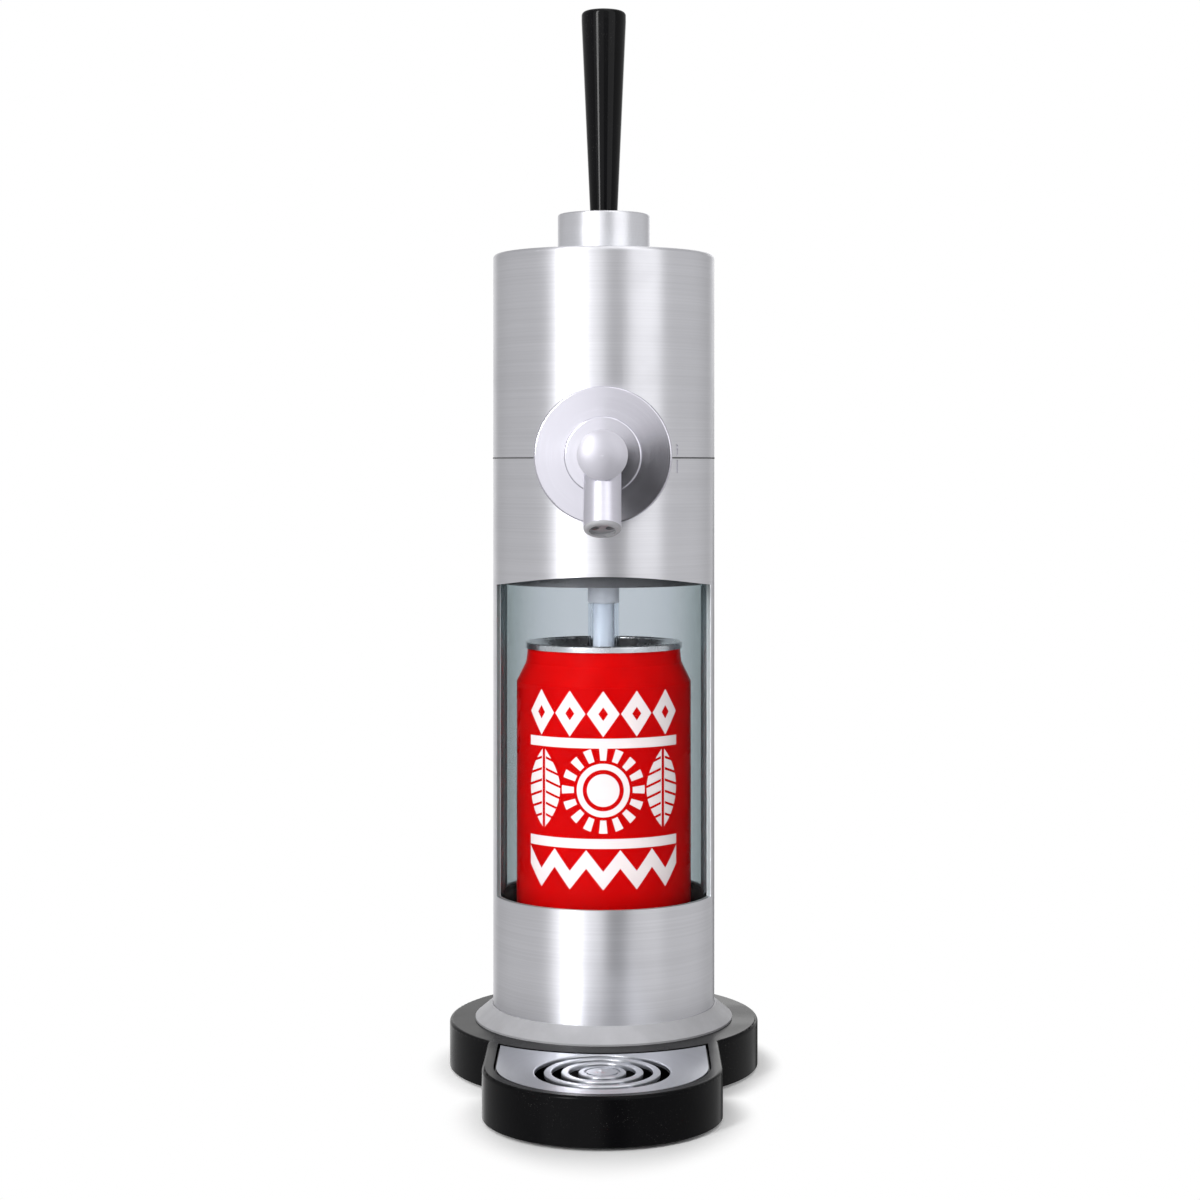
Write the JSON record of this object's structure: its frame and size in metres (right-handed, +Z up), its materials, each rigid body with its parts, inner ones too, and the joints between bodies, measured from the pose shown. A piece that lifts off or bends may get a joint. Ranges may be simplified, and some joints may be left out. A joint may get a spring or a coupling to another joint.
{
  "type": "canned beer dispenser",
  "caption": "Table-top tower that holds a drinks can behind a curved clear window; its lift-off head has a tap, a tilting handle and a dip straw, and a slotted drip tray stands in front.",
  "frame": {"origin": "where the tower's upright axis meets the plane that the feet stand on, 1 mm below the middle of the base cover", "axes": "+Z up along the tower's axis, -Y the way the tap points, +X to the right as seen from the front"},
  "size_m": [0.1168, 0.1764, 0.4006],
  "materials": {
    "tower_steel": "brushed",
    "tap_steel": "satin",
    "skirt_silver": "satin",
    "base_black": "gloss",
    "head_black": "gloss",
    "cup_black": "matte",
    "tray_black": "matte",
    "grille_steel": "satin",
    "clear_plastic": "clear",
    "can_red": "gloss",
    "can_end": "satin",
    "straw_clear": "gloss",
    "sleeve_silicone": "satin",
    "collar_grey": "gloss",
    "soft_black": "matte",
    "screw_steel": "satin",
    "rod_steel": "satin",
    "pump_steel": "satin",
    "pump_white": "matte",
    "hose_silicone": "satin",
    "valve_white": "matte",
    "ring_ceramic": "matte",
    "board_green": "satin",
    "part_black": "matte",
    "wire_red": "satin",
    "cell_wrap": "satin",
    "contact_nickel": "satin"
  },
  "bodies": {
    "base": {"base_body": "base_black", "base_cover": "base_black", "cover_screws": "screw_steel", "rubber_feet": "soft_black", "skirt_ring": "skirt_silver", "skirt_screws": "screw_steel", "tower_shell": "tower_steel", "can_cup": "cup_black", "cup_screws": "screw_steel", "chamber_gasket": "soft_black", "window_tube": "clear_plastic", "can_pad": "soft_black", "can_body": "can_red", "can_lid": "can_end", "can_tab": "can_end"},
    "head": {"dip_collar": "collar_grey", "dip_tube": "straw_clear", "dip_sleeve": "sleeve_silicone", "head_shell": "tower_steel", "head_chassis": "head_black", "tie_rods": "rod_steel", "chassis_screws": "screw_steel", "chassis_seal": "soft_black", "battery_box": "part_black", "batteries": "cell_wrap", "battery_contacts": "contact_nickel", "spout_flange": "tap_steel", "spout_boss": "tap_steel", "spout_shank": "tap_steel", "spout_cap": "tap_steel", "spout_tube": "tap_steel", "spout_insert": "collar_grey", "shank_nut": "screw_steel", "ultrasonic_ring": "ring_ceramic", "lever_bonnet": "tap_steel", "lever_bracket": "head_black", "bracket_screws": "screw_steel", "board_screws": "screw_steel", "pivot_pin": "rod_steel", "centring_spring": "screw_steel", "circuit_board": "board_green", "pour_switch": "part_black", "foam_switch": "part_black", "board_components": "part_black", "wiring": "wire_red", "pump_motor": "pump_steel", "pump_head": "pump_white", "check_valve": "valve_white", "air_hose": "hose_silicone", "beer_hose": "hose_silicone"},
    "lever": {"lever_hub": "head_black", "lever_stem": "rod_steel", "lever_handle": "head_black"},
    "battery_door": {"battery_cover": "tower_steel"},
    "tray": {"drip_tray": "tray_black"},
    "grille": {"drip_grille": "grille_steel"}
  },
  "joints": [
    {"name": "head_lift", "type": "slide", "parent": "base", "child": "head", "axis": [0, 0, 1], "range_m": [0, 0.19]},
    {"name": "lever_tilt", "type": "hinge", "parent": "head", "child": "lever", "pos_m": [0, 0, 0.3106], "axis": [1, 0, 0], "range_deg": [-15, 25], "stiffness_Nm_per_rad": 0.5, "deforming": ["centring_spring"]},
    {"name": "battery_door_pull", "type": "slide", "parent": "head", "child": "battery_door", "axis": [0, 1, 0], "range_m": [0, 0.03]},
    {"name": "tray_lift", "type": "slide", "parent": "base", "child": "tray", "axis": [0, 0, 1], "range_m": [0, 0.03]},
    {"name": "grille_lift", "type": "slide", "parent": "tray", "child": "grille", "axis": [0, 0, 1], "range_m": [0, 0.02]}
  ]
}
